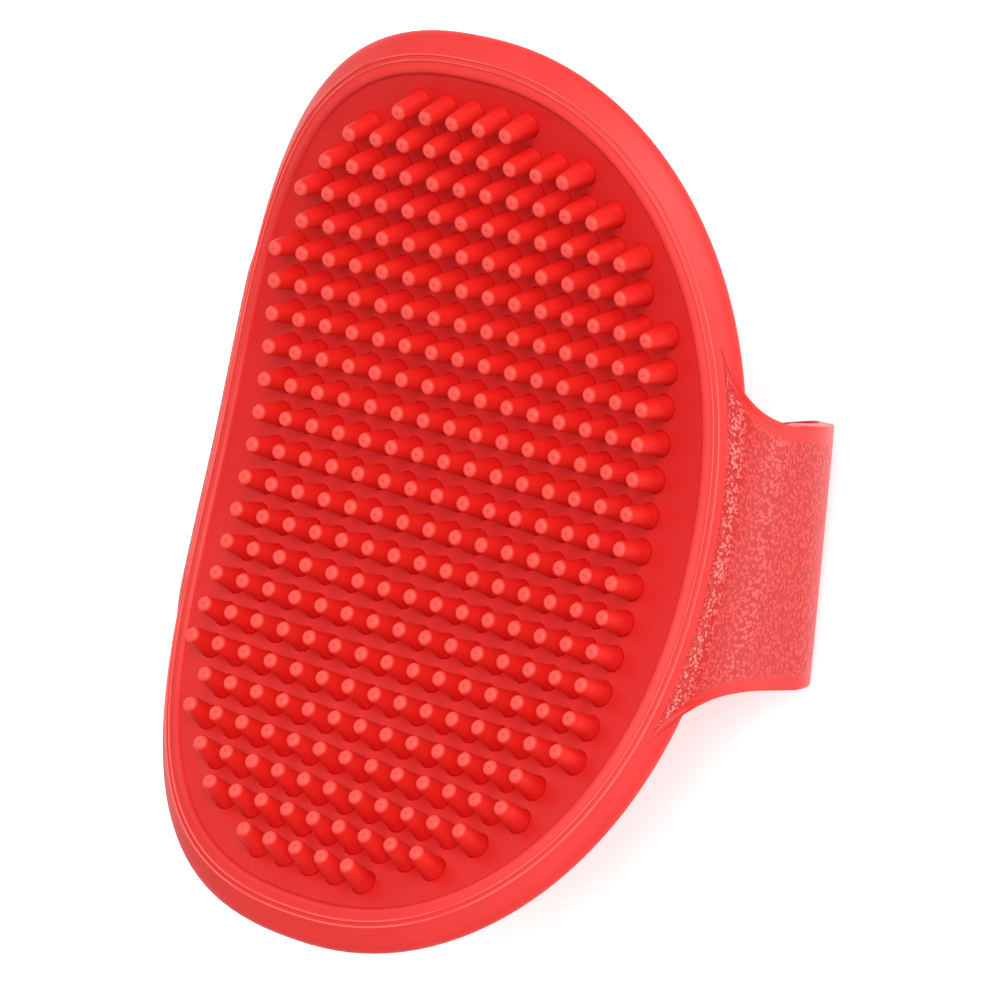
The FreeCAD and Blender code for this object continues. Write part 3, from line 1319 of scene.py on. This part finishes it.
@dataclass
class Studio:
    """Pale floor, soft lights and the camera."""

    paper: Material
    target: Vector
    camera_place: Vector = field(default_factory=lambda: Vector((0.4908, 0.0534, 0.5865)))
    camera_right: Vector = field(default_factory=lambda: Vector((0.7286, 0.2128, -0.6511)))
    camera_up: Vector = field(default_factory=lambda: Vector((-0.2061, 0.9746, 0.0878)))
    lens: float = 193.85
    sensor_width: float = 36.0
    nearest: float = 0.01
    floor_reach: float = 3.0
    sky: float = 0.42
    softboxes: tuple[Softbox, ...] = (
        Softbox("key_light", (0.55, 0.3, 1.08), 0.9, 17.2),
        Softbox("fill_light", (-0.5, 0.5, 0.9), 0.9, 2.4),
    )

    def build(self) -> None:
        """Set the floor, the lights, the world and the camera."""
        bm = bmesh.new()
        bmesh.ops.create_grid(bm, x_segments=8, y_segments=8, size=self.floor_reach)
        floor = new_piece(bm, "studio_floor", self.paper)
        for softbox in self.softboxes:
            softbox.build(self.target)
        world = bpy.data.worlds.new("studio_world")
        world.use_nodes = True
        background = world.node_tree.nodes["Background"]
        background.inputs["Color"].default_value = (1.0, 1.0, 1.0, 1.0)
        background.inputs["Strength"].default_value = self.sky
        bpy.context.scene.world = world
        bpy.context.scene.view_settings.view_transform = "Standard"
        self._camera()

    def _camera(self) -> None:
        """Place the camera."""
        lens = bpy.data.cameras.new("camera")
        lens.lens = self.lens
        lens.sensor_width = self.sensor_width
        lens.clip_start = self.nearest
        camera = bpy.data.objects.new("camera", lens)
        right = self.camera_right.normalized()
        up = (self.camera_up - right * self.camera_up.dot(right)).normalized()
        turned = Matrix((right, up, right.cross(up))).transposed().to_4x4()
        camera.matrix_world = Matrix.Translation(self.camera_place) @ turned
        bpy.context.scene.collection.objects.link(camera)
        bpy.context.scene.camera = camera


def main() -> None:
    """Build the comb's looks round the frame."""
    logging.basicConfig(level=logging.INFO, format="%(message)s")
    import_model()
    form = PadForm(half_width=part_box("rim")[1].x, floor_height=FLOOR_HEIGHT)
    Pad(form, FloorRubber("floor_rubber").build(), RimRubber("rim_rubber").build()).build()
    NubField(form, NubRubber("nub_rubber").build()).build()
    grained = GrainedRubber("grained_rubber").build()
    outer_low, outer_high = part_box("strap_with_holes")
    inner_low, inner_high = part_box("strap_with_studs")
    StrapHalf(
        form,
        grained,
        Side.RIGHT,
        outside=outer_high.x,
        band_height=outer_low.z,
        band_reach=-outer_low.x,
        lean=Lean(
            at_rim=2.2 * MM, at_fold=4.0 * MM, radius_per_width=0.25, outside_per_width=-0.03
        ),
        holes=tuple(place * HOLE_SPACING for place in (-1, 0, 1, 2)),
    ).build("strap_holed", Body.OUTER_STRAP, "strap_with_holes", "strap_root_right")
    StrapHalf(
        form,
        grained,
        Side.LEFT,
        outside=-inner_low.x,
        band_height=inner_low.z,
        band_reach=inner_high.x,
    ).build("strap_studded", Body.INNER_STRAP, "strap_with_studs", "strap_root_left")
    stud_places = tuple((x, y) for x in (0.0, HOLE_SPACING) for y in (HOLE_ROW, -HOLE_ROW))
    Studs(MouldedRubber("stud_rubber").build(), stud_places, shoulder=inner_low.z).build()
    Studio(Paper("backdrop_paper").build(), Vector((0, 0, form.floor_height))).build()


if __name__ == "__main__":
    main()
